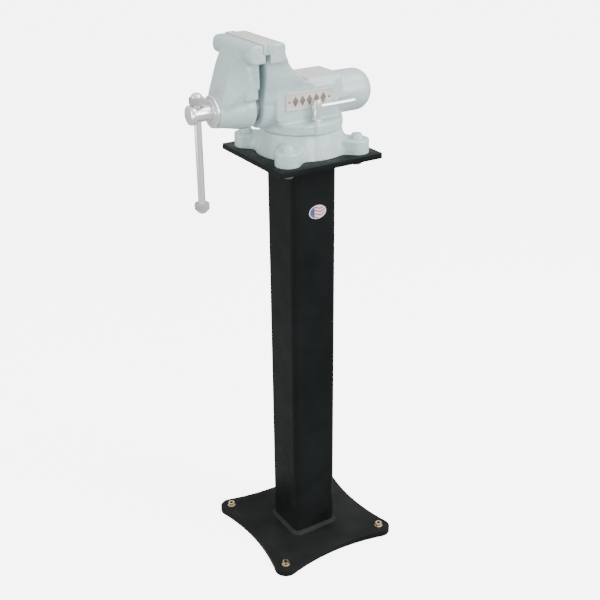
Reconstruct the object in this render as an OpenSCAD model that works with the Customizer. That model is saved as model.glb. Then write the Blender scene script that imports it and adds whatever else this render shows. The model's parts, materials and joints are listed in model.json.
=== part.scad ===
// Swivel-base bullet vise on a square-tube floor stand.
// Origin: centre of the floor plate's underside. +Z is up, the jaws run along X,
// the screw runs along Y and its handle is at the -Y end. Millimetres.

/* [Stand] */
// Distance between the floor bolt holes
floor_hole_gap = 244.5; // [240:0.5:250]
// Radius of the floor plate's corner lobes
floor_lobe_r = 24.5; // [22:0.5:27]
// Distance from the post's axis to the waist of the floor plate
floor_waist = 130; // [124:1:136]
// Thickness of the floor plate
floor_plate_t = 12.7; // [10:0.1:16]
// Width of the square post tube
post_w = 101.6; // [95:0.1:108]
// Wall of the post tube
post_wall = 6.35; // [3:0.05:8]
// Length of the post tube
post_h = 861.5; // [600:1:1000]
// Width of the square top plate
top_plate_w = 224.4; // [216:0.1:236]
// Thickness of the top plate
top_plate_t = 10.3; // [9:0.1:13]
// Leg of the fillet welds
weld_leg = 7.5; // [5:0.5:9]

/* [Swivel base] */
// Distance between the vise's mounting bolts
mount_hole_gap = 152.4; // [150:0.1:156]
// Radius of the swivel base's corner lobes
mount_lobe_r = 24; // [22:0.5:27]
// Height of the lobes
mount_lobe_h = 26.5; // [22:0.1:28]
// Height of the swivel base casting
swivel_base_h = 45.5; // [43:0.1:50]
// Radius of the swivel seat
swivel_r = 77.5; // [76.5:0.5:80]
// Height of the rotating flange on the seat
flange_h = 20; // [18:0.5:22]
// Distance of each lock bolt from the swivel's centre plane
lock_x = 63; // [62:0.5:64]
// Offset of the lock bolts towards the handle
lock_y = 3; // [2:0.5:5]

/* [Jaws and housing] */
// Length of the jaws
jaw_len = 140; // [136:1:144]
// Height of the screw axis above the swivel seat
screw_h = 53; // [52:0.5:56]
// Height of the jaw tops above the screw axis
jaw_top_h = 123; // [120:0.5:128]
// Distance of the closed jaw faces in front of the swivel's centre
jaw_y = 108.5; // [107:0.5:110]
// Thickness of a jaw insert
insert_t = 9; // [8:0.5:11]
// Height of a jaw insert
insert_h = 19; // [17:0.5:22]
// Gap between the two castings below the inserts
casting_gap = 9; // [8:0.2:10]
// Outer radius of the bullet housing
bullet_r = 40.5; // [39.5:0.5:42]
// Radius of the slide bar
slide_r = 28; // [27:0.5:29]
// Distance of the housing's rear end from the swivel's centre
bullet_y = 147; // [145:1:152]

/* [Screw and handle] */
// Radius of the screw
screw_r = 11; // [10:0.5:12]
// Radius of the spindle head's front disc
head_disc_r = 18; // [16.5:0.5:19]
// Distance of the handle's axis from the swivel's centre
handle_y = 216.5; // [216:0.5:218]
// Radius of the handle bar
handle_r = 6.9; // [6:0.1:7]
// Overall length of the handle with its knobs
handle_len = 226.8; // [215:0.1:240]
// Height of a handle knob's ring
knob_ring_h = 12.5; // [10:0.5:14]
// Radius of a handle knob's ring
knob_ring_r = 14; // [12:0.5:15]

/* [Hidden] */
$fn = 96;
slack = 0.3;          // between pieces that move past each other
fit = 0.08;           // radial clearance of a running fit
eps = 0.01;

top_plate_z = floor_plate_t + post_h;
deck_z = top_plate_z + top_plate_t;
seat_z = deck_z + swivel_base_h;
axis_z = seat_z + screw_h;
jaw_top_z = axis_z + jaw_top_h;

post_corner_r = 12.4;
floor_hole_r = 4.2;
floor_nut_w = 13.5;
floor_nut_h = 6.5;
floor_washer_r = 8.7;
floor_washer_t = 1.8;
floor_arc_r = (pow(floor_hole_gap / 2, 2) + pow(floor_waist - floor_hole_gap / 2, 2)
    - pow(floor_lobe_r, 2)) / (2 * (floor_lobe_r - floor_waist + floor_hole_gap / 2));

mount_bolt_r = 6.35;
mount_hole_r = 6.75;
mount_nut_w = 19;
mount_head_h = 7;
mount_washer_r = 12.7;
mount_washer_t = 2.2;
mount_tail = 13.5;
base_foot_r = 88;
pivot_r = 20;
pivot_l = 17;
slot_r = norm([lock_x, lock_y]);
slot_floor_z = seat_z - 20;
slot_roof_z = seat_z - 9;
lock_r = 7.7;
lock_stud_r = 6;
lock_top_z = seat_z + 61;
lug_top_z = seat_z + 22;
lock_bar_r = 4.6;
lock_bar_z = seat_z + 49.5;
lock_bar_back = 10.2;
lock_bar_front = 84;
lock_bar_end_h = 2.2;

face_y = casting_gap / 2;
jaw_half_gap = slack / 2;
rear_face_y = -jaw_y + face_y;
front_face_y = -jaw_y - face_y;
insert_z = jaw_top_z - insert_h;
insert_screw_x = 38;
insert_screw_z = jaw_top_z - insert_h / 2;

panel_x = 48;
anvil_x = 40.4;
anvil_h = 44.4;
bore_end_y = 108;
slide_end_y = 96;
boss_front_y = -185.5;
bell_r = 39.5;
boss_front_r = 30.5;
recess_t = 10;
thrust_t = 3;
nut_front_y = -55;
nut_r = 16;
nut_flange_t = 10;
screw_tail_y = 122;
key_w = 8;
key_h = 7;

collar_r = 29.5;
collar_t = 5;
collar_screw_x = 25.6;
collar_screw_r = 2.5;
collar_screw_l = 11;
collar_head_r = 4;
collar_head_h = 3;
collar_socket_r = 1.6;
collar_socket_t = 2;
ring_r = 22;
ring_t = 2.8;
head_r = 14.3;
head_front_y = -handle_y - 18.5;
disc_t = 11;
spindle_flange_r = 21;
spindle_flange_y = boss_front_y + 1;
spindle_flange_t = 5.5;

knob_dome_r = 10.6;
knob_dome_h = 8.5;
handle_top_z = axis_z + head_disc_r + slack + knob_ring_h + knob_dome_h;
handle_bottom_z = handle_top_z - handle_len;

plate_len = 100.6;
plate_h = 32.5;
plate_t = 1.2;
plate_border = 2;
plate_relief = 0.6;
rivet_y = 43;
lozenge = [6.5, 10];
lozenge_pitch = 15;
plate_y = -11.6;
plate_z = axis_z + 8.5;

sticker_z = 769;
sticker_y = 5;
sticker_t = 0.3;
sticker_half = [19.5, 14];

cast_c = [0.72, 0.77, 0.77];
machined_c = [0.84, 0.82, 0.79];
chrome_c = [0.86, 0.87, 0.88];
steel_c = [0.55, 0.56, 0.57];
black_c = [0.11, 0.12, 0.13];
zinc_c = [0.79, 0.70, 0.48];
rubber_c = [0.55, 0.56, 0.56];

// Copies at the four corners of a square grid.
module at_corners(gap) {
    for (x = [-gap / 2, gap / 2], y = [-gap / 2, gap / 2])
        translate([x, y, 0]) children();
}

// Round bar along the screw axis from y0 to y1.
module axis_rod(r, y0, y1) {
    translate([0, y0, axis_z]) rotate([-90, 0, 0]) cylinder(r = r, h = y1 - y0);
}

// Body of revolution about the screw axis; outline points are [radius, y].
module axis_turned(points) {
    translate([0, 0, axis_z]) rotate([-90, 0, 0]) rotate_extrude() polygon(points);
}

// Profile drawn in [y, z], extruded along X and centred.
module across_x(length) {
    rotate([90, 0, 90]) linear_extrude(length, center = true) children();
}

// Rectangle from corner a to corner b with corner radius r.
module soft_rect(a, b, r) {
    translate([a.x + r, a.y]) square([b.x - a.x - 2 * r, b.y - a.y]);
    translate([a.x, a.y + r]) square([b.x - a.x, b.y - a.y - 2 * r]);
    for (x = [a.x + r, b.x - r], y = [a.y + r, b.y - r])
        translate([x, y]) circle(r);
}

module soft_square(w, r) {
    soft_rect([-w / 2, -w / 2], [w / 2, w / 2], r);
}

module box(a, b) {
    translate(a) cube(b - a);
}

module hex_prism(across_flats, h) {
    cylinder(d = across_flats / cos(30), h = h, $fn = 6);
}

module washer(r, hole_r, t) {
    difference() {
        cylinder(r = r, h = t);
        translate([0, 0, -1]) cylinder(r = hole_r, h = t + 2);
    }
}

// ---------- stand ----------

module floor_plate_outline() {
    reach = floor_hole_gap / 2;
    arc_y = floor_waist + floor_arc_r;
    along = norm([reach, arc_y - reach]);
    touch_x = reach - floor_lobe_r * reach / along;
    touch_y = reach + floor_lobe_r * (arc_y - reach) / along;
    difference() {
        union() {
            square([2 * touch_x, 2 * touch_y], center = true);
            square([2 * touch_y, 2 * touch_x], center = true);
        }
        for (a = [0:90:270])
            rotate(a) translate([0, arc_y]) circle(floor_arc_r, $fn = 360);
    }
    for (x = [-reach, reach], y = [-reach, reach])
        translate([x, y]) circle(floor_lobe_r);
}

module base_plate() {
    color(black_c) difference() {
        linear_extrude(floor_plate_t) floor_plate_outline();
        translate([0, 0, -1]) at_corners(floor_hole_gap)
            cylinder(r = floor_hole_r, h = floor_plate_t + 2);
    }
}

module post_tube() {
    color(black_c) translate([0, 0, floor_plate_t]) linear_extrude(post_h)
        difference() {
            soft_square(post_w, post_corner_r);
            soft_square(post_w - 2 * post_wall, post_corner_r - post_wall);
        }
}

module top_plate() {
    color(black_c) difference() {
        translate([0, 0, top_plate_z]) linear_extrude(top_plate_t)
            soft_square(top_plate_w, 3);
        translate([0, 0, top_plate_z - 1]) at_corners(mount_hole_gap)
            cylinder(r = mount_hole_r, h = top_plate_t + 2);
    }
}

// Fillet bead round the post: a triangle swept along the sides and the corners.
module fillet_weld() {
    side = post_w - 2 * post_corner_r;
    bead = [[0, 0], [weld_leg, 0], [0, weld_leg]];
    for (a = [0:90:270]) rotate(a) {
        translate([post_w / 2, side / 2, 0]) rotate([90, 0, 0])
            linear_extrude(side) polygon(bead);
        translate([side / 2, side / 2, 0]) rotate_extrude(angle = 90)
            translate([post_corner_r, 0]) polygon(bead);
    }
}

module foot_weld() {
    color(black_c) translate([0, 0, floor_plate_t]) fillet_weld();
}

module head_weld() {
    color(black_c) translate([0, 0, top_plate_z]) mirror([0, 0, 1]) fillet_weld();
}

module floor_washers() {
    color(zinc_c) translate([0, 0, floor_plate_t]) at_corners(floor_hole_gap)
        washer(floor_washer_r, floor_hole_r, floor_washer_t);
}

module floor_nuts() {
    color(zinc_c) translate([0, 0, floor_plate_t + floor_washer_t])
        at_corners(floor_hole_gap) difference() {
            intersection() {
                hex_prism(floor_nut_w, floor_nut_h);
                cylinder(r1 = floor_nut_w * 0.64, r2 = floor_nut_w * 0.5, h = floor_nut_h);
            }
            translate([0, 0, -1]) cylinder(r = floor_hole_r, h = floor_nut_h + 2);
        }
}

module post_sticker() {
    color("white") translate([post_w / 2, sticker_y, sticker_z]) rotate([90, 0, 90])
        linear_extrude(sticker_t)
            polygon([for (a = [0:6:354]) [sticker_half.x * cos(a), sticker_half.y * sin(a)]]);
}

// ---------- swivel base and its bolts ----------

module swivel_base() {
    reach = mount_hole_gap / sqrt(2);
    color(cast_c) difference() {
        union() {
            translate([0, 0, deck_z])
                cylinder(r1 = base_foot_r, r2 = swivel_r, h = swivel_base_h);
            for (a = [45:90:315]) rotate(a) {
                translate([reach, 0, deck_z]) cylinder(r = mount_lobe_r, h = mount_lobe_h);
                box([reach / 2, -mount_lobe_r, deck_z],
                    [reach, mount_lobe_r, deck_z + mount_lobe_h]);
            }
        }
        // hollow underside, pivot bore and the ring-shaped slot of the lock nuts
        translate([0, 0, deck_z - 1]) cylinder(r = 62, h = 14);
        translate([0, 0, deck_z]) cylinder(r = pivot_r + fit, h = swivel_base_h + 1);
        translate([0, 0, slot_floor_z]) ring(slot_r - 11, slot_r + 11.2, slot_roof_z - slot_floor_z);
        translate([0, 0, slot_roof_z - eps]) ring(slot_r - 7.2, slot_r + 7.2, seat_z - slot_roof_z + 1);
        translate([0, 0, deck_z - 1]) at_corners(mount_hole_gap)
            cylinder(r = mount_hole_r, h = mount_lobe_h + 2);
    }
}

module ring(r_in, r_out, h) {
    rotate_extrude() translate([r_in, 0]) square([r_out - r_in, h]);
}

module mount_bolts() {
    washer_top = deck_z + mount_lobe_h + mount_washer_t;
    color(cast_c) at_corners(mount_hole_gap) {
        translate([0, 0, washer_top]) intersection() {
            hex_prism(mount_nut_w, mount_head_h);
            cylinder(r1 = mount_nut_w * 0.62, r2 = mount_nut_w * 0.5, h = mount_head_h);
        }
        translate([0, 0, top_plate_z - mount_tail])
            cylinder(r = mount_bolt_r, h = washer_top - top_plate_z + mount_tail + eps);
    }
}

module mount_washers() {
    color(cast_c) translate([0, 0, deck_z + mount_lobe_h]) at_corners(mount_hole_gap)
        washer(mount_washer_r, mount_bolt_r, mount_washer_t);
}

module mount_lower_washers() {
    color(steel_c) translate([0, 0, top_plate_z - mount_washer_t]) at_corners(mount_hole_gap)
        washer(mount_washer_r, mount_bolt_r, mount_washer_t);
}

module mount_nuts() {
    nut_h = 11;
    color(steel_c) translate([0, 0, top_plate_z - mount_washer_t - nut_h])
        at_corners(mount_hole_gap) difference() {
            hex_prism(mount_nut_w, nut_h);
            translate([0, 0, -1]) cylinder(r = mount_bolt_r, h = nut_h + 2);
        }
}

// ---------- rear casting: swivel flange, bullet housing, anvil and rear jaw ----------

module swivel_flange() {
    translate([0, 0, seat_z + slack]) cylinder(r = swivel_r + 2, h = flange_h - slack);
    translate([0, 0, seat_z - pivot_l]) cylinder(r = pivot_r, h = pivot_l + flange_h);
    for (side = [-1, 1]) {
        translate([side * lock_x, -lock_y, seat_z + slack])
            cylinder(r = 13, h = lug_top_z - seat_z - slack);
        box([side > 0 ? lock_x - 4 : -lock_x - 20, -lock_y - 14, seat_z + slack],
            [side > 0 ? lock_x + 20 : 4 - lock_x, -lock_y + 14, lug_top_z - 1]);
    }
}

// Flat-sided block under the housing, from the flange up to the anvil's shoulders.
module housing_block() {
    translate([0, 0, seat_z + flange_h - 1]) linear_extrude(axis_z - seat_z - flange_h)
        soft_rect([-46, -76], [46, 58], 6);
    intersection() {
        across_x(2 * panel_x) soft_rect([-80, axis_z - 25], [47, axis_z + 33], 3);
        rotate([90, 0, 0]) linear_extrude(200, center = true)
            polygon([[-panel_x, axis_z - 30], [panel_x, axis_z - 30],
                     [panel_x, axis_z + 31], [panel_x - 4, axis_z + 36],
                     [4 - panel_x, axis_z + 36], [-panel_x, axis_z + 31]]);
    }
    translate([0, 0, axis_z]) linear_extrude(39)
        soft_rect([-44, -40], [44, 66], 5);
}

module bullet() {
    dome_r = 29;
    dome_y = bullet_y - dome_r;
    axis_turned([[0, -80], [bullet_r, -80], [bullet_r, dome_y], [0, dome_y]]);
    translate([0, 0, axis_z]) rotate([-90, 0, 0]) rotate_extrude() {
        translate([0, dome_y - 1]) square([bullet_r - dome_r, dome_r + 1]);
        intersection() {
            translate([bullet_r - dome_r, dome_y]) circle(dome_r);
            translate([bullet_r - dome_r - eps, dome_y - eps]) square(dome_r + 1);
        }
    }
    axis_turned([[0, rear_face_y], [40.5, rear_face_y], [42.5, rear_face_y + 2],
                 [42.5, -70], [0, -70]]);
}

module anvil() {
    translate([0, 0, axis_z + 30]) linear_extrude(anvil_h - 30)
        soft_rect([-anvil_x, -9], [anvil_x, 68], 3);
}

module rear_neck() {
    intersection() {
        across_x(jaw_len) polygon([
            [rear_face_y, axis_z + 12], [rear_face_y, jaw_top_z - 22],
            [-70.5, jaw_top_z - 22], [-64, jaw_top_z - 32], [-58, jaw_top_z - 42], [-45, jaw_top_z - 59],
            [-20, jaw_top_z - 80], [0, jaw_top_z - 88], [0, axis_z + 12]]);
        rotate([90, 0, 0]) linear_extrude(240, center = true) polygon([
            for (side = [1, -1]) each side > 0 ? neck_edge() : mirrored(neck_edge())]);
    }
}

// Right edge of the rear neck seen from the front, from the housing up to the jaw.
function neck_edge() = [
    [44, axis_z + 10], [47, axis_z + 30], [53, axis_z + 45], [56, axis_z + 58],
    [58, jaw_top_z - 42], [63.5, jaw_top_z - 32], [67, jaw_top_z - 22]];
function mirrored(points) = [for (i = [len(points) - 1:-1:0]) [-points[i].x, points[i].y]];

module rear_head() {
    intersection() {
        across_x(jaw_len) intersection() {
            soft_rect([rear_face_y - 20, jaw_top_z - 36], [-70, jaw_top_z - 1.2], 9);
            translate([rear_face_y, jaw_top_z - 60]) square([60, 80]);
        }
        linear_extrude(jaw_top_z + 10)
            soft_rect([-jaw_len / 2, rear_face_y - 20], [jaw_len / 2, -70], 8);
    }
}

module insert_screw_holes() {
    for (x = [-insert_screw_x, insert_screw_x])
        translate([x, -jaw_y, insert_screw_z]) rotate([90, 0, 0])
            cylinder(r = 3, h = 60, center = true);
}

module rear_casting() {
    seat_back = -jaw_y + jaw_half_gap + insert_t;
    color(cast_c) difference() {
        union() {
            swivel_flange();
            housing_block();
            bullet();
            anvil();
            rear_neck();
            rear_head();
        }
        box([-jaw_len, -jaw_y - 5, insert_z], [jaw_len, seat_back, jaw_top_z + 5]);
        insert_screw_holes();
        axis_rod(slide_r + fit, rear_face_y - 5, bore_end_y);
        axis_rod(screw_r + 2, bore_end_y - 1, screw_tail_y + 5);
        slide_key_shape();
        translate([0, bore_end_y - nut_flange_t / 2, axis_z - bullet_r - 5])
            cylinder(r = 4, h = 25);
        for (side = [-1, 1])
            translate([side * lock_x, -lock_y, seat_z - 5])
                cylinder(r = lock_stud_r + fit, h = 60);
    }
}

module jaw_insert() {
    difference() {
        children(0);
        insert_screw_holes();
        children(1);
    }
}

module rear_jaw_insert() {
    face = -jaw_y + jaw_half_gap;
    color(machined_c) jaw_insert() {
        box([-jaw_len / 2, face, insert_z], [jaw_len / 2, face + insert_t, jaw_top_z]);
        insert_counterbores(face, 1);
    }
}

module insert_counterbores(face, side) {
    for (x = [-insert_screw_x, insert_screw_x])
        translate([x, face, insert_screw_z]) rotate([-90 * side, 0, 0])
            translate([0, 0, -1]) cylinder(r = 6, h = 8);
}

// Cap screws seated below the jaw face; side is 1 for the rear jaw, -1 for the front.
module insert_screws(face, side) {
    for (x = [-insert_screw_x, insert_screw_x])
        translate([x, face, insert_screw_z]) rotate([-90 * side, 0, 0]) difference() {
            union() {
                translate([0, 0, 1.5]) cylinder(r = 6, h = 5.5);
                translate([0, 0, 6]) cylinder(r = 3, h = 20);
            }
            cylinder(r = 2.9, h = 4.5, $fn = 6);
        }
}

module rear_insert_screws() {
    color(steel_c) insert_screws(-jaw_y + jaw_half_gap, 1);
}

module spindle_nut() {
    color(zinc_c) difference() {
        union() {
            axis_rod(nut_r, nut_front_y, bore_end_y - 1);
            axis_rod(slide_r - 0.1, bore_end_y - nut_flange_t, bore_end_y);
        }
        axis_rod(screw_r + slack, nut_front_y - 1, bore_end_y + 1);
        translate([0, bore_end_y - nut_flange_t / 2, axis_z - bullet_r])
            cylinder(r = 4, h = bullet_r - 20);
    }
}

module nut_set_screw() {
    color(steel_c) translate([0, bore_end_y - nut_flange_t / 2, axis_z - bullet_r + 1])
        cylinder(r = 4, h = bullet_r - 21);
}

module slide_key_shape() {
    box([-key_w / 2, -98, axis_z - slide_r - 4], [key_w / 2, -58, axis_z - slide_r - 4 + key_h]);
}

module slide_key() {
    color(steel_c) slide_key_shape();
}

module nameplate() {
    half = [plate_len / 2, plate_h / 2];
    color(machined_c) translate([panel_x, plate_y, plate_z]) rotate([90, 0, 90]) {
        linear_extrude(plate_t) soft_rect(-half, half, 2);
        linear_extrude(plate_t + plate_relief) difference() {
            soft_rect(-half, half, 2);
            square([plate_len - 2 * plate_border, plate_h - 2 * plate_border], center = true);
        }
        // plain row of raised lozenges
        for (i = [-2:2]) translate([i * lozenge_pitch, 0, 0]) linear_extrude(plate_t + plate_relief)
            polygon([[-lozenge.x, 0], [0, -lozenge.y], [lozenge.x, 0], [0, lozenge.y]]);
    }
}

module nameplate_rivets() {
    color(machined_c) for (side = [-1, 1])
        translate([panel_x + plate_t, plate_y + side * rivet_y, plate_z]) intersection() {
            translate([-1, 0, 0]) sphere(r = 2.6);
            translate([0, -4, -4]) cube(8);
        }
}

module lock_t_nuts() {
    color(steel_c) for (side = [-1, 1]) difference() {
        translate([side * lock_x, -lock_y, (slot_floor_z + slot_roof_z) / 2 + 1])
            cube([18, 20, slot_roof_z - slot_floor_z - 2 - 2 * slack], center = true);
        translate([side * lock_x, -lock_y, slot_floor_z])
            cylinder(r = lock_stud_r + fit, h = 30);
    }
}

// ---------- front casting: jaw and slide bar in one piece ----------

// The neck is the overlap of its side view, its front view and a blunt-nosed prism
// that leans back along the neck's front edge.
module front_neck() {
    nose_tilt = 18;
    intersection() {
        across_x(jaw_len) polygon([
            [-181, axis_z + 19], [-176.5, axis_z + 36], [-171.5, axis_z + 58],
            [-164, axis_z + 76], [-155, jaw_top_z - 30], [-151, jaw_top_z - 20],
            [-129.5, jaw_top_z - 20], [-129.5, axis_z + 8], [-178, axis_z + 8]]);
        rotate([90, 0, 0]) linear_extrude(240) polygon([
            for (side = [1, -1]) each side > 0 ? nose_edge() : mirrored(nose_edge())]);
        translate([0, -182, axis_z + 19]) rotate([-nose_tilt, 0, 0])
            linear_extrude(260, center = true)
                polygon([[-29, 0], [29, 0], [54, 44], [54, 120], [-54, 120], [-54, 44]]);
    }
    // web behind the neck, with a lip along its rear edge
    box([-44, -140, axis_z + 20], [44, front_face_y - 1, jaw_top_z - 26]);
    box([-47.5, front_face_y - 7, axis_z + 40], [47.5, front_face_y, jaw_top_z - 26]);
}

// Right edge of the front neck seen from the front, from the boss up to the jaw.
function nose_edge() = [
    [30, axis_z + 5], [38, axis_z + 22], [44, axis_z + 38], [50, axis_z + 58],
    [53, axis_z + 76], [60, jaw_top_z - 30], [66, jaw_top_z - 18]];

module front_head() {
    roll_r = 16.5;
    roll_y = -131.5;
    intersection() {
        across_x(jaw_len) intersection() {
            union() {
                translate([roll_y, jaw_top_z - roll_r - 1]) circle(roll_r);
                translate([roll_y, jaw_top_z - 2 * roll_r - 1]) square([20, 2 * roll_r - 0.5]);
            }
            translate([front_face_y - 60, jaw_top_z - 60]) square([60, 80]);
        }
        linear_extrude(jaw_top_z + 10)
            soft_rect([-jaw_len / 2, roll_y - roll_r - 1], [jaw_len / 2, front_face_y + 10], 12);
    }
}

module front_casting() {
    seat_back = -jaw_y - jaw_half_gap - insert_t;
    color(cast_c) difference() {
        union() {
            axis_turned([[0, boss_front_y], [boss_front_r - 1, boss_front_y],
                         [boss_front_r, boss_front_y + 1], [31.5, -173], [34, -160],
                         [bell_r, -134], [bell_r, -122], [bell_r - 1.5, -114.5], [0, -114.5]]);
            front_neck();
            front_head();
            axis_rod(slide_r, -116, slide_end_y);
        }
        box([-jaw_len, seat_back, insert_z], [jaw_len, -jaw_y + 5, jaw_top_z + 5]);
        insert_screw_holes();
        axis_rod(nut_r + 1.5, nut_front_y - 7, slide_end_y + 1);
        axis_rod(screw_r + 1.5, boss_front_y - 1, nut_front_y);
        axis_rod(spindle_flange_r + 1, boss_front_y - 1, boss_front_y + recess_t);
        box([-key_w / 2 - 0.2, -110, axis_z - slide_r - 5],
            [key_w / 2 + 0.2, slide_end_y + 1, axis_z - slide_r - 4 + key_h + 0.5]);
        collar_screw_sites(boss_front_y + collar_screw_l + 1, collar_screw_r, collar_screw_l + 3);
    }
}

module collar_screw_sites(y_end, r, h) {
    for (a = [30:120:270])
        translate([0, 0, axis_z]) rotate([0, a, 0]) translate([collar_screw_x, y_end, 0])
            rotate([90, 0, 0]) cylinder(r = r, h = h);
}

module front_jaw_insert() {
    face = -jaw_y - jaw_half_gap;
    color(machined_c) jaw_insert() {
        box([-jaw_len / 2, face - insert_t, insert_z], [jaw_len / 2, face, jaw_top_z]);
        insert_counterbores(face, -1);
    }
}

module front_insert_screws() {
    color(steel_c) insert_screws(-jaw_y - jaw_half_gap, -1);
}

module thrust_washer() {
    back = boss_front_y + recess_t;
    color(zinc_c) difference() {
        axis_rod(spindle_flange_r + 1, back - thrust_t, back);
        axis_rod(screw_r + 1.5, back - thrust_t - 1, back + 1);
    }
}

module spindle_collar() {
    front = boss_front_y - collar_t;
    color(chrome_c) difference() {
        axis_turned([[0, front], [collar_r - 1, front], [collar_r, front + 1],
                     [collar_r, boss_front_y - 1], [collar_r - 1, boss_front_y], [0, boss_front_y]]);
        axis_rod(head_r + fit, front - 1, boss_front_y + 1);
        collar_screw_sites(boss_front_y + 1, collar_screw_r, collar_t + 2);
        collar_screw_sites(front + collar_head_h, collar_head_r, collar_head_h + 1);
    }
}

module collar_screws() {
    front = boss_front_y - collar_t;
    color(steel_c) difference() {
        union() {
            collar_screw_sites(boss_front_y + collar_screw_l, collar_screw_r,
                collar_screw_l + collar_t - eps);
            collar_screw_sites(front + collar_head_h, collar_head_r, collar_head_h);
        }
        collar_screw_sites(front + collar_socket_t, collar_socket_r, collar_socket_t + 1);
    }
}

module spindle_ring() {
    back = boss_front_y - collar_t;
    color(chrome_c) difference() {
        axis_turned([[0, back - ring_t], [ring_r - 1, back - ring_t], [ring_r, back - ring_t + 1],
                     [ring_r, back], [0, back]]);
        axis_rod(head_r + 0.5, back - ring_t - 1, back + 1);
    }
}

// ---------- spindle and handle ----------

module spindle_screw() {
    disc_back = head_front_y + disc_t;
    flange_back = spindle_flange_y + spindle_flange_t;
    color(chrome_c) difference() {
        axis_turned([
            [0, head_front_y], [head_disc_r - 4, head_front_y], [head_disc_r - 1, head_front_y + 1.5],
            [head_disc_r, head_front_y + 4], [head_disc_r, disc_back - 1.5],
            [head_disc_r - 1.5, disc_back], [head_r, disc_back], [head_r, spindle_flange_y],
            [spindle_flange_r, spindle_flange_y], [spindle_flange_r, flange_back],
            [screw_r, flange_back], [screw_r, screw_tail_y - 3], [screw_r - 3, screw_tail_y],
            [0, screw_tail_y]]);
        translate([0, -handle_y, axis_z - 30]) cylinder(r = handle_r + slack, h = 60);
    }
}

module handle_bar() {
    color(chrome_c) translate([0, -handle_y, handle_bottom_z + knob_dome_h])
        cylinder(r = handle_r, h = handle_len - 2 * knob_dome_h);
}

// Both ends of the handle; the children are drawn growing outwards from a knob's inner face.
module at_handle_ends() {
    translate([0, -handle_y, handle_top_z - knob_dome_h - knob_ring_h]) children();
    translate([0, -handle_y, handle_bottom_z + knob_dome_h + knob_ring_h])
        mirror([0, 0, 1]) children();
}

module handle_rings() {
    edge = 1.5;
    color(rubber_c) at_handle_ends() rotate_extrude() polygon([
        [handle_r, 0], [knob_ring_r - edge, 0], [knob_ring_r, edge],
        [knob_ring_r, knob_ring_h - edge], [knob_ring_r - edge, knob_ring_h],
        [handle_r, knob_ring_h]]);
}

module handle_caps() {
    crown_r = (pow(knob_dome_r, 2) + pow(knob_dome_h - 2, 2)) / (2 * (knob_dome_h - 2));
    color(chrome_c) at_handle_ends() translate([0, 0, knob_ring_h]) intersection() {
        cylinder(r = knob_dome_r, h = knob_dome_h);
        translate([0, 0, knob_dome_h - crown_r]) sphere(r = crown_r);
    }
}

// ---------- swivel locks ----------

module lock_bolt(side) {
    crown_h = 3;
    color(chrome_c) translate([side * lock_x, -lock_y, 0]) difference() {
        union() {
            translate([0, 0, slot_floor_z + 1])
                cylinder(r = lock_stud_r, h = lug_top_z - slot_floor_z);
            translate([0, 0, lug_top_z + slack])
                cylinder(r = lock_r, h = lock_top_z - crown_h - lug_top_z - slack);
            translate([0, 0, lock_top_z - crown_h])
                cylinder(r1 = lock_r, r2 = lock_r - 2, h = crown_h);
        }
        translate([0, 0, lock_bar_z]) rotate([90, 0, 0])
            cylinder(r = lock_bar_r + slack, h = 40, center = true);
    }
}

module lock_bar(side) {
    end_r = lock_bar_r + 1;
    color(chrome_c) translate([side * lock_x, -lock_y, lock_bar_z]) rotate([-90, 0, 0]) {
        translate([0, 0, -lock_bar_back])
            cylinder(r = lock_bar_r, h = lock_bar_back + lock_bar_front);
        translate([0, 0, -lock_bar_back])
            cylinder(r1 = lock_bar_r, r2 = end_r, h = lock_bar_end_h);
        translate([0, 0, lock_bar_front - lock_bar_end_h])
            cylinder(r1 = end_r, r2 = lock_bar_r, h = lock_bar_end_h);
    }
}

module lock_bolt_right() { lock_bolt(1); }
module lock_bar_right() { lock_bar(1); }
module lock_bolt_left() { lock_bolt(-1); }
module lock_bar_left() { lock_bar(-1); }

base_plate();
post_tube();
top_plate();
foot_weld();
head_weld();
floor_washers();
floor_nuts();
post_sticker();
swivel_base();
mount_bolts();
mount_washers();
mount_nuts();
mount_lower_washers();
rear_casting();
rear_jaw_insert();
rear_insert_screws();
spindle_nut();
nut_set_screw();
slide_key();
nameplate();
nameplate_rivets();
lock_t_nuts();
front_casting();
front_jaw_insert();
front_insert_screws();
thrust_washer();
spindle_collar();
collar_screws();
spindle_ring();
spindle_screw();
handle_bar();
handle_rings();
handle_caps();
lock_bolt_right();
lock_bar_right();
lock_bolt_left();
lock_bar_left();
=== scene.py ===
"""Swivel-base bullet vise on a floor stand: the looks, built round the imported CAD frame."""

import json
import math

import bmesh
import bpy
import numpy as np
from mathutils import Matrix, Vector


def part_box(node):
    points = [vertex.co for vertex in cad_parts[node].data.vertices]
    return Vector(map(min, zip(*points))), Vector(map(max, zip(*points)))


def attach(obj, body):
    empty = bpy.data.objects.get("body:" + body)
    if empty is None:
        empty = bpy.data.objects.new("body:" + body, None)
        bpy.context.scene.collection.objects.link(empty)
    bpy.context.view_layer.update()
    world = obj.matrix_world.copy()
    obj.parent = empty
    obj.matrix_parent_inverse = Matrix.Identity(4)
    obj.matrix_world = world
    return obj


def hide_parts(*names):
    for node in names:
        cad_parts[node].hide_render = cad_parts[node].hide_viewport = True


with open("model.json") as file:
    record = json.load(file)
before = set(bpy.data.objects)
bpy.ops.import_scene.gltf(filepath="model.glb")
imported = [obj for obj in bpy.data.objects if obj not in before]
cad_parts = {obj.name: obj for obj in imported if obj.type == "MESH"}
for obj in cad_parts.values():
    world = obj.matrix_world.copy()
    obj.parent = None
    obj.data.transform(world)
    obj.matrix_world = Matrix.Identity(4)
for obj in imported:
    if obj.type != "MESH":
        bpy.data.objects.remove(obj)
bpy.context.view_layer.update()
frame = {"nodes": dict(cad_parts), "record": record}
MM = 0.001

# ---------- places, all worked out from the frame ----------


def low(node):
    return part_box(node)[0]


def high(node):
    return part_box(node)[1]


def middle(node):
    return (low(node) + high(node)) / 2


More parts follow.
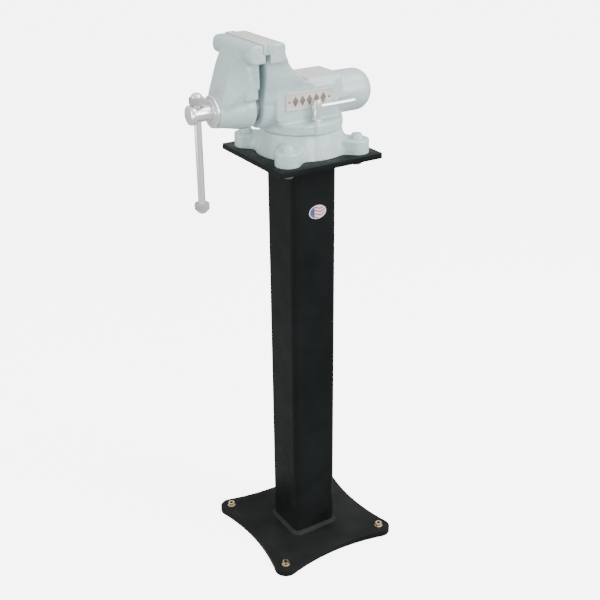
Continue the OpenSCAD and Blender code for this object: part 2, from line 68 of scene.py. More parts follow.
AXIS_Z = middle("spindle_ring").z
SEAT_Z = high("swivel_base").z
DECK_Z = high("top_plate").z
JAW_TOP_Z = high("rear_jaw_insert").z
BOSS_FRONT_Y = low("front_casting").y

# sizes that no node's box gives, the same as in the CAD
SLIDE_R = 28.6 * MM  # just outside the slide bar and its bore
BORE_REACH = SLIDE_R + 0.4 * MM  # points this near the slide's axis stay put
SPINDLE_SEAT_R = 24 * MM  # round the spindle's bore in the boss
ANVIL_Z = AXIS_Z + 44.4 * MM
BOSS_LENGTH = 70 * MM  # enamelled, from the collar to the bare slide bar
PIVOT_FACE_R = 75 * MM  # the base's machined top and all inside it
POST_CORNER_R = 12.4 * MM
KNOB_RING_H = 12.5 * MM
INSERT_SCREW_X = 38 * MM

# light: the sky from the sides and from above, the floor's own glow, and the sky as the camera
# sees it, which is what the glowing floor and the light on it come to
WORLD_LIGHT = 0.62
TOP_LIGHT = 1.25
FLOOR_GLOW = 5.2
SKY_SEEN = 6.15

PALE_STEEL = ((0.74, 0.73, 0.69), (0.85, 0.84, 0.80))
SLIDE_STEEL = ((0.30, 0.31, 0.31), (0.42, 0.43, 0.43))
ENAMEL_LIGHT = (0.53, 0.655, 0.66)
ENAMEL_DARK = (0.46, 0.585, 0.595)


# ---------- node trees ----------


class Look:
    """A Principled material whose inputs are driven by a few kinds of node."""

    def __init__(self, name, **values):
        self.material = bpy.data.materials.new(name)
        self.material.use_nodes = True
        self.tree = self.material.node_tree
        self.shader = self.tree.nodes["Principled BSDF"]
        self.place = self.add("ShaderNodeTexCoord").outputs["Object"]
        for key, value in values.items():
            self.put(key, value)

    def add(self, kind, settings=(), **inputs):
        node = self.tree.nodes.new(kind)
        for key, value in dict(settings).items():
            setattr(node, key, value)
        for key, value in inputs.items():
            self.feed(node.inputs[key.replace("_", " ")], value)
        return node

    def feed(self, socket, value):
        """Links a node's output to the socket, or sets the socket to a number or colour."""
        if isinstance(value, bpy.types.NodeSocket):
            self.tree.links.new(value, socket)
        elif socket.type == "RGBA" and len(value) == 3:
            socket.default_value = (*value, 1)
        else:
            socket.default_value = value

    def put(self, key, value):
        self.feed(self.shader.inputs[key.replace("_", " ")], value)

    def stretched(self, scale):
        """The place for a noise, drawn out along the axes whose scale is small."""
        return self.add("ShaderNodeMapping", Vector=self.place, Scale=scale).outputs["Vector"]

    def noise(self, size, detail=3.0, place=None):
        """Noise whose blotches are about size across, in metres."""
        return self.add("ShaderNodeTexNoise", Vector=place or self.place,
                        Scale=1 / size, Detail=detail).outputs["Fac"]

    def cells(self, size):
        return self.add("ShaderNodeTexVoronoi", {"feature": "SMOOTH_F1"},
                        Vector=self.place, Scale=1 / size).outputs["Distance"]

    def math(self, operation, a, b=0.0, clamp=False):
        node = self.tree.nodes.new("ShaderNodeMath")
        node.operation = operation
        node.use_clamp = clamp
        self.feed(node.inputs[0], a)
        self.feed(node.inputs[1], b)
        return node.outputs[0]

    def between(self, value, start, end, low_out=0.0, high_out=1.0):
        """value's run from start to end, turned into low_out to high_out and held there."""
        node = self.tree.nodes.new("ShaderNodeMapRange")
        for key, number in zip(("Value", "From Min", "From Max", "To Min", "To Max"),
                               (value, start, end, low_out, high_out)):
            self.feed(node.inputs[key], number)
        return node.outputs["Result"]

    def mix(self, share, a, b):
        """a where share is 0, b where it is 1; both are colours."""
        node = self.tree.nodes.new("ShaderNodeMix")
        node.data_type = "RGBA"
        self.feed(node.inputs["Factor"], share)
        self.feed([s for s in node.inputs if s.name == "A" and s.type == "RGBA"][0], a)
        self.feed([s for s in node.inputs if s.name == "B" and s.type == "RGBA"][0], b)
        return [s for s in node.outputs if s.type == "RGBA"][0]

    def blend(self, share, a, b):
        """a where share is 0, b where it is 1; both are numbers."""
        return self.between(share, 0.0, 1.0, a, b)

    def bump(self, height, depth, strength, under=None):
        node = self.add("ShaderNodeBump", Height=height, Distance=depth, Strength=strength)
        if under is not None:
            self.feed(node.inputs["Normal"], under)
        return node.outputs["Normal"]

    def coordinate(self, axis):
        return self.add("ShaderNodeSeparateXYZ", Vector=self.place).outputs[axis]

    def spread(self, noise, low_out=0.0, high_out=1.0):
        """A noise's usual run, 0.3 to 0.7, turned into low_out to high_out."""
        return self.between(noise, 0.3, 0.7, low_out, high_out)

    def pointiness(self, start, end, low_out=0.0, high_out=1.0):
        """Over 0.5 on a fine mesh's outer edges and under it in its inner corners."""
        sharp = self.add("ShaderNodeNewGeometry").outputs["Pointiness"]
        return self.between(sharp, start, end, low_out, high_out)


def on_planes(look, heights):
    """1 on level faces at one of the heights, 0 elsewhere."""
    facing = look.add("ShaderNodeTexCoord").outputs["Normal"]
    facing = look.add("ShaderNodeSeparateXYZ", Vector=facing).outputs["Z"]
    upward = look.between(facing, 0.86, 0.93)
    share = 0.0
    for z in heights:
        off = look.math("ABSOLUTE", look.math("SUBTRACT", look.coordinate("Z"), z))
        on = look.math("MULTIPLY", look.between(off, 0.7 * MM, 0.5 * MM), upward)
        share = look.math("ADD", share, on, clamp=True)
    return share


def on_slide(look, start, end):
    """1 within the slide's radius of its axis from y = start to y = end, 0 elsewhere."""
    x, z = look.coordinate("X"), look.coordinate("Z")
    reach = look.add("ShaderNodeVectorMath", {"operation": "DISTANCE"})
    look.feed(reach.inputs[0], look.add("ShaderNodeCombineXYZ", X=x, Y=0.0, Z=z).outputs[0])
    look.feed(reach.inputs[1], (0, 0, AXIS_Z))
    share = look.between(reach.outputs["Value"], SLIDE_R, SLIDE_R - 0.2 * MM)
    for edge, inner in ((start, start + 0.5 * MM), (end, end - 0.5 * MM)):
        share = look.math("MULTIPLY", share, look.between(look.coordinate("Y"), edge, inner))
    return share


def enamel(name, light, dark, slide_y=None, planes=()):
    """Hammered enamel over cast iron. With slide_y, metal is bare on the slide between those two
    places, and on level faces at the heights in planes."""
    look = Look(name, Coat_Weight=0.5, Coat_Roughness=0.13, Specular_IOR_Level=0.5)
    grain = look.noise(0.0016, 2)
    painted_hollow_shade = [c * 0.72 for c in dark]
    colour = look.mix(look.between(look.noise(0.045, 4), 0.35, 0.68), light, dark)
    # painted shade: the enamel turns to a darker copy of itself in the mesh's inner corners and
    # hollows, where shade falls
    colour = look.mix(look.pointiness(0.5, 0.44, 0.0, 0.55), colour, painted_hollow_shade)
    # outer edges lightened to a pale enamel tone, broken up by the grain: partly edge wear, partly
    # a painted edge highlight
    edge_wear_and_highlight = look.math("MULTIPLY", look.pointiness(0.535, 0.6), look.between(grain, 0.45, 0.7))
    colour = look.mix(look.math("MULTIPLY", edge_wear_and_highlight, 0.5), colour, (0.83, 0.86, 0.85))
    rough = look.spread(look.noise(0.012), 0.3, 0.46)
    waves = look.math("MULTIPLY", look.noise(0.02, 5), 0.9)
    hammered = look.math("ADD", look.cells(0.0052), waves)

    if slide_y is not None:
        plane = on_planes(look, planes)
        sleeve = on_slide(look, *slide_y)
        lines = look.noise(0.0006, 2, look.stretched((1, 0.02, 1)))
        colour = look.mix(plane, colour, look.mix(lines, *PALE_STEEL))
        colour = look.mix(sleeve, colour, look.mix(lines, *SLIDE_STEEL))
        bare = look.math("ADD", plane, sleeve, clamp=True)
        rough = look.blend(bare, rough, look.spread(lines, 0.34, 0.5))
        hammered = look.math("MULTIPLY", hammered, look.blend(bare, 1.0, 0.05))
        look.put("Metallic", look.math("ADD", look.math("MULTIPLY", bare, 0.15),
                                       look.math("MULTIPLY", sleeve, 0.5)))
    look.put("Base Color", colour)
    look.put("Roughness", rough)
    look.put("Normal", look.bump(hammered, 1.1 * MM, 0.65, look.bump(grain, 0.05 * MM, 0.35)))
    return look.material


def powder_coat(name, colour, roughness=0.42):
    """Satin powder coat: orange peel, faint scuffs, and dust towards the floor."""
    look = Look(name, Specular_IOR_Level=0.09)
    patches = look.noise(0.09, 5)
    peel = look.noise(0.0022, 2)
    tone = look.mix(look.spread(patches), colour, [c * 1.45 + 0.002 for c in colour])
    scuffs = look.between(look.noise(0.006, 6, look.stretched((1, 1, 0.12))), 0.64, 0.78)
    tone = look.mix(look.math("MULTIPLY", scuffs, 0.025), tone, (0.16, 0.17, 0.17))
    dust = look.between(look.coordinate("Z"), 0.2, 0.0, 0.0, 0.016)
    dust = look.math("MULTIPLY", dust, look.between(patches, 0.35, 0.6))
    tone = look.mix(dust, tone, (0.23, 0.22, 0.20))
    look.put("Base Color", tone)
    look.put("Roughness", look.spread(look.noise(0.03, 4), roughness - 0.07, roughness + 0.09))
    look.put("Normal", look.bump(peel, 0.06 * MM, 0.5, look.bump(patches, 0.2 * MM, 0.25)))
    return look.material


def chrome(name):
    """Bright plate with fine turning marks, finger smears and small pits."""
    colour = (0.97, 0.975, 0.975)
    look = Look(name, Metallic=0.72, Specular_IOR_Level=0.8)
    smears = look.noise(0.016, 5)
    marks = look.noise(0.0005, 2, look.stretched((1, 0.1, 1)))
    pits = look.between(look.noise(0.0013, 2), 0.72, 0.78)
    tone = look.mix(look.between(smears, 0.35, 0.7), colour, [c * 0.93 for c in colour])
    tone = look.mix(look.math("MULTIPLY", pits, 0.35), tone, (0.42, 0.40, 0.37))
    look.put("Base Color", tone)
    look.put("Roughness", look.spread(smears, 0.11, 0.25))
    look.put("Normal", look.bump(marks, 0.012 * MM, 0.35, look.bump(pits, 0.03 * MM, -0.3)))
    return look.material


def ground_steel(name, light, dark, along=(0.03, 1, 1), metallic=0.35, roughness=0.38, end_x=None):
    """Steel with a straight grinding grain and stains. With end_x, the faces that far out along X
    carry enamel."""
    look = Look(name, Metallic=metallic)
    grain = look.noise(0.0005, 3, look.stretched(along))
    stains = look.noise(0.011, 5)
    tone = look.mix(grain, light, dark)
    tone = look.mix(look.between(stains, 0.52, 0.8, 0.0, 0.35), tone, [c * 0.72 for c in dark])
    if end_x is not None:
        out = look.math("ABSOLUTE", look.coordinate("X"))
        on_end = look.between(out, end_x - 0.5 * MM, end_x - 0.3 * MM)
        tone = look.mix(on_end, tone, look.mix(stains, ENAMEL_LIGHT, ENAMEL_DARK))
    look.put("Base Color", tone)
    look.put("Roughness", look.spread(grain, roughness - 0.08, roughness + 0.1))
    look.put("Normal", look.bump(grain, 0.02 * MM, 0.5))
    return look.material


def plated_zinc(name):
    """Yellow zinc plate, with the faint pink and green bloom of its passivation."""
    look = Look(name, Metallic=1.0)
    bloom = look.noise(0.004, 3)
    tone = look.mix(look.between(bloom, 0.35, 0.6), (0.82, 0.68, 0.44), (0.84, 0.65, 0.48))
    tone = look.mix(look.between(bloom, 0.58, 0.75), tone, (0.66, 0.70, 0.46))
    look.put("Base Color", tone)
    look.put("Roughness", look.spread(look.noise(0.0015), 0.2, 0.32))
    look.put("Normal", look.bump(look.noise(0.0007, 2), 0.015 * MM, 0.4))
    return look.material


def grey_rubber(name):
    """Matt grey rubber with faint blotches."""
    look = Look(name, Specular_IOR_Level=0.35)
    patches = look.noise(0.006, 4)
    tone = look.mix(look.spread(patches), (0.34, 0.35, 0.34), (0.42, 0.43, 0.42))
    look.put("Base Color", tone)
    look.put("Roughness", look.spread(patches, 0.5, 0.66))
    look.put("Normal", look.bump(look.noise(0.0006, 2), 0.03 * MM, 0.4))
    return look.material


def plate_metal(name):
    """Satin nameplate whose raised marks are tinted brown."""
    look = Look(name, Metallic=0.3)
    plate = middle("nameplate")
    raised_x = high("nameplate").x
    half = (high("nameplate") - low("nameplate")) / 2
    grain = look.noise(0.0006, 3, look.stretched((1, 0.04, 1)))
    field = look.mix(grain, (0.62, 0.59, 0.54), (0.72, 0.69, 0.64))
    up = look.between(look.coordinate("X"), raised_x - 0.25 * MM, raised_x - 0.1 * MM)
    inner = half - Vector((0, 3 * MM, 3 * MM))  # the rim round the marks stays pale
    for axis, reach, centre in (("Y", inner.y, plate.y), ("Z", inner.z, plate.z)):
        away = look.math("ABSOLUTE", look.math("SUBTRACT", look.coordinate(axis), centre))
        up = look.math("MULTIPLY", up, look.between(away, reach, reach - 0.2 * MM))
    tint = look.mix(grain, (0.17, 0.14, 0.12), (0.24, 0.20, 0.17))
    look.put("Base Color", look.mix(up, field, tint))
    look.put("Roughness", look.spread(grain, 0.36, 0.5))
    look.put("Normal", look.bump(grain, 0.015 * MM, 0.4))
    return look.material


def sticker_print(name):
    """Plain printed oval: soft wavy bands of red on white with a blue end, and no lettering."""
    look = Look(name, Coat_Weight=0.6, Coat_Roughness=0.08)
    centre = middle("post_sticker")
    half = (high("post_sticker") - low("post_sticker")) / 2
    across = look.math("DIVIDE", look.math("SUBTRACT", look.coordinate("Y"), centre.y), half.y)
    upward = look.math("DIVIDE", look.math("SUBTRACT", look.coordinate("Z"), centre.z), half.z)
    wave = look.math("SINE", look.math("MULTIPLY", across, 5.0))
    wave = look.math("ADD", upward, look.math("MULTIPLY", wave, 0.14))
    band = look.between(look.math("SINE", look.math("MULTIPLY", wave, 13.0)), 0.0, 0.35)
    tone = look.mix(band, (0.82, 0.80, 0.80), (0.62, 0.07, 0.08))
    tone = look.mix(look.between(across, -0.32, -0.38), tone, (0.05, 0.08, 0.28))
    squares = [look.math("POWER", value, 2.0) for value in (across, upward)]
    far = look.math("SQRT", look.math("ADD", *squares))
    tone = look.mix(look.between(far, 0.88, 0.91), tone, (0.80, 0.80, 0.80))
    tone = look.mix(look.between(look.noise(0.004), 0.45, 0.7, 0.0, 0.12), tone, (0.5, 0.48, 0.46))
    look.put("Base Color", tone)
    look.put("Roughness", look.spread(look.noise(0.003), 0.3, 0.42))
    look.put("Normal", look.bump(look.noise(0.005), 0.03 * MM, 0.4))
    return look.material


def pale_floor(name):
    """Studio floor that glows a little, as a lit sweep does."""
    look = Look(name, Roughness=0.75, Emission_Color=(1.0, 1.0, 1.0), Emission_Strength=FLOOR_GLOW)
    speckle = look.noise(0.4, 3)
    look.put("Base Color", look.mix(speckle, (0.87, 0.87, 0.87), (0.90, 0.90, 0.90)))
    return look.material


# ---------- meshes ----------


def object_from(bm, name):
    """A new object, and its mesh of the same name, from a bmesh, which is freed."""
    mesh = bpy.data.meshes.new(name)
    bm.to_mesh(mesh)
    bm.free()
    obj = bpy.data.objects.new(name, mesh)
    bpy.context.scene.collection.objects.link(obj)
    return obj


def node_mesh(node):
    """A bmesh of a CAD node's solids, its seams welded."""
    bm = bmesh.new()
    bm.from_mesh(frame["nodes"][node].data)
    bmesh.ops.remove_doubles(bm, verts=bm.verts, dist=1e-6)
    return bm


def body_of_node(node):
    bodies = frame["record"]["behaviour"]["bodies"]
    return next(body for body, names in bodies.items() if node in names)


def finish_piece(obj, material, node, sharp):
    """Smooth shading, broken at edges over sharp degrees unless that is 0, then the material, and
    the piece in the CAD node's place on its body."""
    obj.data.materials.clear()
    obj.data.materials.append(material)
    obj.data.polygons.foreach_set("use_smooth", [True] * len(obj.data.polygons))
    if sharp:
        obj.data.set_sharp_from_angle(angle=math.radians(sharp))
    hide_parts(node)
    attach(obj, body_of_node(node))


def crisp_mesh(bm, width):
    """Rounds by width every edge where the faces turn by more than 28 degrees."""
    bmesh.ops.dissolve_limit(bm, angle_limit=math.radians(0.5), verts=bm.verts, edges=bm.edges)
    turn = math.radians(28)
    sharp = [e for e in bm.edges if len(e.link_faces) == 2 and e.calc_face_angle() > turn]
    bmesh.ops.bevel(bm, geom=sharp, offset=width, segments=2, profile=0.6,
                    affect="EDGES", clamp_overlap=True)
    bmesh.ops.recalc_face_normals(bm, faces=bm.faces)


def crisp_piece(node, width, material):
    """A CAD node's machined solids with their edges broken."""
    bm = node_mesh(node)
    crisp_mesh(bm, width)
    finish_piece(object_from(bm, node + "_finish"), material, node, 35)


def positions(mesh, key="co"):
    """The mesh's points, or with key="normal" their normals, as rows of three."""
    values = np.empty(len(mesh.vertices) * 3)
    mesh.vertices.foreach_get(key, values)
    return values.reshape(-1, 3)


VOXEL, QUICK_VOXEL = 1.7 * MM, 2.6 * MM
FOOT_RUN = 14 * MM
FILL_GAIN, WEAR_GAIN, EVEN_GAIN = 0.55, 0.5, 0.35  # shares of the way to the neighbours' mean
EVEN_ROUNDS = 2  # the last rounds, which smooth everything alike


def relax(mesh, fillet_rounds, edge_rounds, fixed, firm, square):
    """Smooths a remeshed casting: inner corners fill for fillet_rounds, outer edges wear for
    edge_rounds. Points in fixed stay put. Edges in firm or square keep sharper, and so do the
    inner corners in square."""
    ends = np.empty(len(mesh.edges) * 2, int)
    mesh.edges.foreach_get("vertices", ends)
    a, b = ends.reshape(-1, 2).T
    count = len(mesh.vertices)
    degree = np.bincount(np.concatenate([a, b]), minlength=count)[:, None]
    co = positions(mesh)
    held = fixed(co)
    is_square = square(co)
    wear = np.where(firm(co) | is_square, edge_rounds // 2, edge_rounds)
    fill = np.where(is_square, fillet_rounds // 4, fillet_rounds)
    for turn in range(fillet_rounds):
        normal = positions(mesh, "normal")
        total = np.stack([np.bincount(a, co[b, k], count) + np.bincount(b, co[a, k], count)
                          for k in range(3)], 1)
        shift = total / degree - co
        outward = (shift * normal).sum(1) > 0
        if turn >= fillet_rounds - EVEN_ROUNDS:
            gain = np.full(count, EVEN_GAIN)
        else:
            gain = np.where(outward, FILL_GAIN * (turn < fill), WEAR_GAIN * (turn < wear))
        gain[held] = 0
        co = co + shift * gain[:, None]
        mesh.vertices.foreach_set("co", co.ravel())
        mesh.update()


def cast_piece(node, material, rounds, fixed, firm, square, foot=None):
    """A casting: the CAD node remeshed evenly, its inner corners filled and its outer edges worn,
    for the two numbers of rounds. With foot, its walls run on below that height while they are
    smoothed, and are then cut off flat."""
    bm = node_mesh(node)
    if foot is not None:
        bottom = [f for f in bm.faces
                  if abs(f.calc_center_median().z - foot) < 1e-5 and f.normal.z < -0.9]
        lower = bmesh.ops.extrude_face_region(bm, geom=bottom)["geom"]
        bmesh.ops.translate(bm, vec=(0, 0, -FOOT_RUN),
                            verts=[v for v in lower if isinstance(v, bmesh.types.BMVert)])
        bmesh.ops.delete(bm, geom=[f for f in bottom if f.is_valid], context="FACES_ONLY")
    obj = object_from(bm, node + "_body")
    remesh = obj.modifiers.new("even", "REMESH")
    remesh.mode = "VOXEL"
    remesh.voxel_size = VOXEL
    remesh.adaptivity = 0
    shape = obj.evaluated_get(bpy.context.evaluated_depsgraph_get())
    even = bpy.data.meshes.new_from_object(shape)
    even.name = node + "_body"
    obj.modifiers.clear()
    obj.data = even
    relax(even, *rounds, fixed, firm, square)
    if foot is not None:
        bm = bmesh.new()
        bm.from_mesh(even)
        everything = bm.verts[:] + bm.edges[:] + bm.faces[:]
        cut = bmesh.ops.bisect_plane(bm, geom=everything, plane_co=(0, 0, foot),
                                     plane_no=(0, 0, 1), clear_inner=True)
        rim = [e for e in cut["geom_cut"] if isinstance(e, bmesh.types.BMEdge)]
        bmesh.ops.triangle_fill(bm, edges=rim, use_beauty=True)
        bmesh.ops.recalc_face_normals(bm, faces=bm.faces)
        bm.to_mesh(even)
        bm.free()
    finish_piece(obj, material, node, 0)


def skin_rows(bm, rows):
    """Faces between each row of points and the next, closed both ways."""
    for here, there in zip(rows, rows[1:] + rows[:1]):
        for i in range(len(here)):
            j = (i + 1) % len(here)
            bm.faces.new((here[i], there[i], there[j], here[j]))


def ring_mesh(bm, outline, turns, place):
    """Adds a closed ring: outline(angle) gives pairs of radius and height, and place turns them
    into points in space."""
    rows = []
    for k in range(turns):
        angle = 2 * math.pi * k / turns
        rows.append([bm.verts.new(place(angle, r, h)) for r, h in outline(angle)])
    skin_rows(bm, rows)


# ---------- pieces ----------

rear_enamel = enamel("rear_enamel", ENAMEL_LIGHT, ENAMEL_DARK,
                     (low("rear_casting").y - MM, high("spindle_nut").y + MM),
                     [ANVIL_Z, high("rear_casting").z])
front_enamel = enamel("front_enamel", ENAMEL_LIGHT, ENAMEL_DARK,
                      (high("spindle_collar").y + BOSS_LENGTH, high("front_casting").y + MM))
base_enamel = enamel("base_enamel", ENAMEL_LIGHT, ENAMEL_DARK)
bolt_paint = enamel("bolt_paint", (0.60, 0.71, 0.71), (0.53, 0.64, 0.64))
black_coat = powder_coat("black_coat", (0.005, 0.0062, 0.0062))
weld_coat = powder_coat("weld_coat", (0.010, 0.012, 0.012), 0.36)
bright = chrome("bright_chrome")
jaw_steel = ground_steel("jaw_steel", *PALE_STEEL, metallic=0.15, end_x=high("rear_jaw_insert").x)
dark_steel = ground_steel("dark_steel", (0.16, 0.16, 0.165), (0.24, 0.24, 0.245),
                          (1, 1, 1), 0.8, 0.4)
bronze = ground_steel("oiled_bronze", (0.55, 0.38, 0.18), (0.62, 0.45, 0.22),
                      (1, 0.05, 1), 0.9, 0.3)
zinc = plated_zinc("yellow_zinc_plate")
rubber = grey_rubber("knob_grey")
plate = plate_metal("plate_metal")
printed = sticker_print("sticker_print")


def near_axis(co, reach):
    """Which of the points are within reach of the slide's axis."""
    return np.hypot(co[:, 0], co[:, 2] - AXIS_Z) < reach


def make_castings():
    """The three castings, each with the regions where its smoothing differs."""

    def rear_fixed(co):
        return near_axis(co, BORE_REACH) | (co[:, 2] < SEAT_Z - 2 * MM)

    def rear_firm(co):
        on_anvil = (co[:, 2] > AXIS_Z + 40 * MM) & (co[:, 1] > -14 * MM)
        on_head = (co[:, 2] > JAW_TOP_Z - 24 * MM) & (co[:, 1] < -80 * MM)
        on_panel = (np.abs(co[:, 0]) > 46 * MM) & (np.abs(co[:, 2] - AXIS_Z) < 38 * MM)
        return on_anvil | on_head | on_panel

    def on_lug(co):
        off_middle = (np.abs(co[:, 0]) > 50 * MM) & (np.abs(co[:, 1]) < 24 * MM)
        return off_middle & (co[:, 2] < SEAT_Z + 30 * MM)

    def front_fixed(co):
        slide = near_axis(co, BORE_REACH) & (co[:, 1] > BOSS_FRONT_Y + 60 * MM)
        return slide | near_axis(co, SPINDLE_SEAT_R)

    def front_firm(co):
        return (co[:, 2] > JAW_TOP_Z - 24 * MM) & (co[:, 1] > -124 * MM)

    washers = positions(frame["nodes"]["mount_washers"].data)
    hole = washers[(washers[:, 0] > 0) & (washers[:, 1] > 0)].mean(0)

    def base_fixed(co):
        inside = np.hypot(co[:, 0], co[:, 1]) < PIVOT_FACE_R
        off_hole = np.abs(co[:, :2]) - hole[:2]
        return inside | (np.hypot(off_hole[:, 0], off_hole[:, 1]) < 9 * MM)

    def lobe_top(co):
        return co[:, 2] > DECK_Z + 18 * MM

    def nowhere(co):
        return np.zeros(len(co), bool)

    cast_piece("rear_casting", rear_enamel, (24, 5), rear_fixed, rear_firm, on_lug)
    cast_piece("front_casting", front_enamel, (24, 6), front_fixed, front_firm, nowhere)
    cast_piece("swivel_base", base_enamel, (240, 5), base_fixed, nowhere, lobe_top, DECK_Z)


def make_weld(node, up):
    """A fillet bead round the post, laid in overlapping ripples; up is -1 where it hangs."""
    reach = high(node).x
    leg = high(node).z - low(node).z
    root = reach - leg
    floor_z = low(node).z if up > 0 else high(node).z
    ripple = 3.4 * MM
    side = 2 * (root - POST_CORNER_R)
    around = 4 * side + 2 * math.pi * POST_CORNER_R
    turns = 520

    def on_path(s):
        """Point and outward direction at distance s round the post's outline."""
        quarter = around / 4
        k, rest = divmod(s, quarter)
        turn = Matrix.Rotation(k * math.pi / 2, 2)
        if rest < side:
            point, out = Vector((root, -side / 2 + rest)), Vector((1, 0))
        else:
            a = (rest - side) / POST_CORNER_R
            out = Vector((math.cos(a), math.sin(a)))
            point = Vector((side / 2, side / 2)) + out * POST_CORNER_R
        return turn @ point, turn @ out

    bm = bmesh.new()
    rows = []
    for k in range(turns):
        s = around * k / turns
        point = on_path(s)[0]
        phase = (s / ripple) % 1
        swell = 0.9 + 0.1 * (1 - (2 * phase - 1) ** 2)
        row = [bm.verts.new((*point, floor_z))]
        for i in range(7):
            t = math.pi / 2 * i / 6
            r = leg * swell * (0.86 + 0.14 * math.cos(4 * t))
            lead = 0.35 * ripple * math.sin(2 * t)
            root_point, out = on_path((s + lead) % around)
            away = root_point + out * r * math.cos(t)
            row.append(bm.verts.new((away.x, away.y, floor_z + up * r * math.sin(t))))
        rows.append(row)
    skin_rows(bm, rows)
    bmesh.ops.recalc_face_normals(bm, faces=bm.faces)
    finish_piece(object_from(bm, node + "_bead"), weld_coat, node, 50)


def make_knob_rings():
    """Knurled rings of the handle's two knobs."""
    bm = bmesh.new()
    ring = middle("handle_rings")
    top, bottom = high("handle_rings").z, low("handle_rings").z
    outer = (high("handle_rings").x - low("handle_rings").x) / 2
    inner = (high("handle_bar").x - low("handle_bar").x) / 2
    flutes = 44
    for start in (top - KNOB_RING_H, bottom):
        def outline(angle):
            wave = 0.5 - 0.5 * math.cos(flutes * angle)
            full = outer - 0.55 * MM * wave
            edge = 1.5 * MM
            half = [(inner, 0), (outer - edge, 0), (outer - edge / 3, edge / 3), (full, edge)]
            return half + [(r, KNOB_RING_H - h) for r, h in reversed(half)]

        def place(angle, r, h):
            return (ring.x + r * math.cos(angle), ring.y + r * math.sin(angle), start + h)

        ring_mesh(bm, outline, flutes * 6, place)
    bmesh.ops.recalc_face_normals(bm, faces=bm.faces)
    finish_piece(object_from(bm, "knob_rings"), rubber, "handle_rings", 40)


def make_jaw_insert(node, name, side):
    """A ground insert with a serrated gripping face; side is 1 where the face looks towards -Y."""
    depth, step = 0.5 * MM, 1.0 * MM
    rim_in = 0.45 * MM
    lo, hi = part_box(node)
    face_y = lo.y if side > 0 else hi.y
    bm = node_mesh(node)
    for v in bm.verts:
        if abs(v.co.y - face_y) < 1e-5:
            v.co.y += side * depth
    crisp_mesh(bm, 0.4 * MM)
    columns = round((hi.x - lo.x) / step)
    rows = round((hi.z - lo.z) / step)
    screws = [(x, (lo.z + hi.z) / 2) for x in (-INSERT_SCREW_X, INSERT_SCREW_X)]
    clear = 8 * MM
    grid = []
    for i in range(columns + 1):
        line = []
        for j in range(rows + 1):
            rim = i in (0, columns) or j in (0, rows)
            peak = (i + j) % 2 == 0 and not rim
            x = lo.x + i * step + rim_in * ((i == 0) - (i == columns))
            z = lo.z + j * step + rim_in * ((j == 0) - (j == rows))
            sunk = depth + 0.1 * MM if rim else 0.02 * MM if peak else depth * 0.8
            y = face_y + side * sunk
            line.append(bm.verts.new((x, y, z)))
        grid.append(line)
    for i in range(columns):
        for j in range(rows):
            corners = (grid[i][j], grid[i + 1][j], grid[i + 1][j + 1], grid[i][j + 1])
            mid = sum((v.co for v in corners), Vector()) / 4
            if all(math.hypot(mid.x - x, mid.z - z) > clear - 0.8 * MM for x, z in screws):
                bm.faces.new(corners if side > 0 else corners[::-1])
    bmesh.ops.delete(bm, geom=[v for v in bm.verts if not v.link_faces], context="VERTS")
    for x, z in screws:
        def outline(angle):
            outline_mm = ((6.1, 0.6), (6.1, 0.2), (6.4, 0.05), (7.8, 0.05), (8.1, 0.3), (8.1, 0.6))
            return [(r * MM, h * MM) for r, h in outline_mm]

        def place(angle, r, h):
            return (x + r * math.cos(angle), face_y + side * h, z + r * math.sin(angle))

        ring_mesh(bm, outline, 64, place)
    finish_piece(object_from(bm, name), jaw_steel, node, 30)


def make_machined():
    """The turned, cut and ground pieces: node, edge in mm, material and slot."""
    for node, width, material, slot in (
            ("base_plate", 1.0, black_coat, "stand_paint"),
            ("top_plate", 0.8, black_coat, "stand_paint"),
            ("floor_washers", 0.25, zinc, "yellow_zinc"),
            ("floor_nuts", 0.4, zinc, "yellow_zinc"),
            ("mount_bolts", 0.6, bolt_paint, "bolt_enamel"),
            ("mount_washers", 0.4, bolt_paint, "bolt_enamel"),
            ("mount_nuts", 0.6, dark_steel, "dark_steel"),
            ("mount_lower_washers", 0.3, dark_steel, "dark_steel"),
            ("spindle_collar", 0.7, bright, "chrome_plate"),
            ("spindle_ring", 0.5, bright, "chrome_plate"),
            ("spindle_screw", 0.6, bright, "chrome_plate"),
            ("handle_caps", 0.5, bright, "chrome_plate"),
            ("lock_bolt_right", 0.6, bright, "chrome_plate"),
            ("lock_bolt_left", 0.6, bright, "chrome_plate"),
            ("lock_bar_right", 0.4, bright, "chrome_plate"),
            ("lock_bar_left", 0.4, bright, "chrome_plate"),
            ("nameplate", 0.25, plate, "nameplate_metal"),
            ("collar_screws", 0.3, bright, "chrome_plate"),
            ("rear_insert_screws", 0.3, dark_steel, "dark_steel"),
            ("front_insert_screws", 0.3, dark_steel, "dark_steel"),
            ("slide_key", 0.4, dark_steel, "dark_steel"),
            ("lock_t_nuts", 0.5, dark_steel, "dark_steel")):
        crisp_piece(node, width * MM, material)


def paint_node(node, material):
    """Gives a CAD node that stays a finished material."""
    obj = frame["nodes"][node]
    obj.data.materials.clear()
    obj.data.materials.append(material)


def make_camera():
    """The photograph's viewpoint, with its small roll."""
    azimuth, pitch, roll = (math.radians(v) for v in (58.21, 25.68, -0.51))
    back = Vector((math.sin(azimuth), -math.cos(azimuth), 0)) * math.cos(pitch)
    back.z = math.sin(pitch)
    level = Vector((math.cos(azimuth), math.sin(azimuth), 0))
    above = back.cross(level)
    right = level * math.cos(roll) + above * math.sin(roll)
    up = above * math.cos(roll) - level * math.sin(roll)
    lens = bpy.data.cameras.new("camera")
    lens.sensor_width = 36
    lens.lens = 60.3
    camera = bpy.data.objects.new("camera", lens)
    bpy.context.scene.collection.objects.link(camera)
    turn = Matrix((right, up, back)).transposed().to_4x4()
    camera.matrix_world = Matrix.Translation((1.584, -0.987, 1.458)) @ turn
    bpy.context.scene.camera = camera


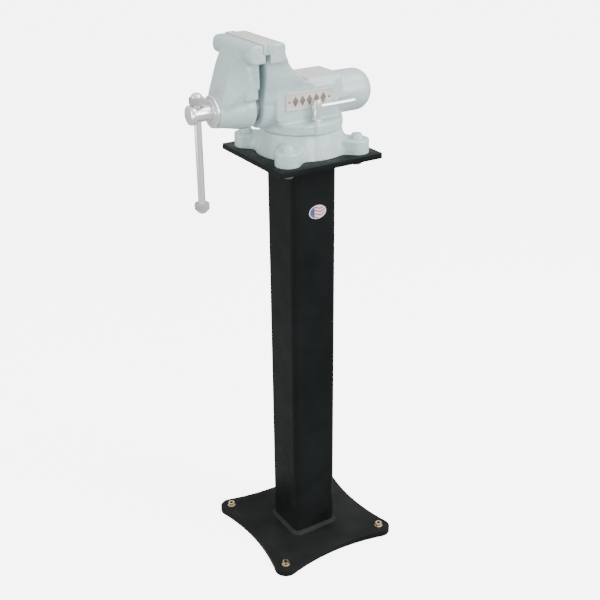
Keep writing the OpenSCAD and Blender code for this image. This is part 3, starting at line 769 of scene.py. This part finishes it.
def soft_box(name, place, target, size, power):
    """A rectangular area lamp at place, aimed at target."""
    lamp = bpy.data.lights.new(name, "AREA")
    lamp.shape = "RECTANGLE"
    lamp.size, lamp.size_y = size
    lamp.energy = power
    obj = bpy.data.objects.new(name, lamp)
    bpy.context.scene.collection.objects.link(obj)
    aim = (Vector(place) - Vector(target)).to_track_quat("Z", "Y").to_matrix().to_4x4()
    obj.matrix_world = Matrix.Translation(place) @ aim


def make_studio():
    """A sky brighter towards the top, a pale floor, and four soft lamps."""
    world = bpy.data.worlds.new("studio")
    bpy.context.scene.world = world
    world.use_nodes = True
    nodes, links = world.node_tree.nodes, world.node_tree.links
    where = nodes.new("ShaderNodeTexCoord")
    split = nodes.new("ShaderNodeSeparateXYZ")
    height = nodes.new("ShaderNodeMapRange")
    links.new(where.outputs["Generated"], split.inputs[0])
    links.new(split.outputs["Z"], height.inputs["Value"])
    for key, value in (("From Min", -0.3), ("From Max", 0.9),
                       ("To Min", WORLD_LIGHT), ("To Max", TOP_LIGHT)):
        height.inputs[key].default_value = value
    seen = nodes.new("ShaderNodeLightPath")  # looked at directly, the sky is as bright as the floor
    blend = nodes.new("ShaderNodeMix")
    links.new(seen.outputs["Is Camera Ray"], blend.inputs["Factor"])
    links.new(height.outputs["Result"], blend.inputs["A"])
    blend.inputs["B"].default_value = SKY_SEEN
    sky = nodes["Background"]
    sky.inputs["Color"].default_value = (1, 1, 1, 1)
    links.new(blend.outputs["Result"], sky.inputs["Strength"])
    bm = bmesh.new()
    bmesh.ops.create_grid(bm, x_segments=4, y_segments=4, size=20)
    floor = object_from(bm, "studio_floor")
    floor.data.materials.append(pale_floor("pale_floor"))
    floor.visible_diffuse = False  # the lamps and the sky light the object, and the glow doesn't
    floor.visible_glossy = False
    chest = (0, -0.02, 0.95)
    soft_box("side", (2.0, 1.3, 1.7), chest, (1.1, 1.1), 36)
    soft_box("low", (2.6, -0.35, 1.15), chest, (0.8, 0.8), 26)
    soft_box("top", (0.8, 1.1, 3.0), chest, (1.8, 1.8), 46)
    soft_box("front", (-0.3, -2.4, 0.9), chest, (1.2, 1.2), 26)


make_camera()
make_castings()
make_machined()
make_weld("foot_weld", 1)
make_weld("head_weld", -1)
make_knob_rings()
make_jaw_insert("rear_jaw_insert", "rear_insert_plate", 1)
make_jaw_insert("front_jaw_insert", "front_insert_plate", -1)
for node, material in (
        ("post_tube", black_coat), ("post_sticker", printed), ("handle_bar", bright),
        ("nameplate_rivets", plate), ("nut_set_screw", dark_steel),
        ("spindle_nut", bronze), ("thrust_washer", bronze)):
    paint_node(node, material)
make_studio()
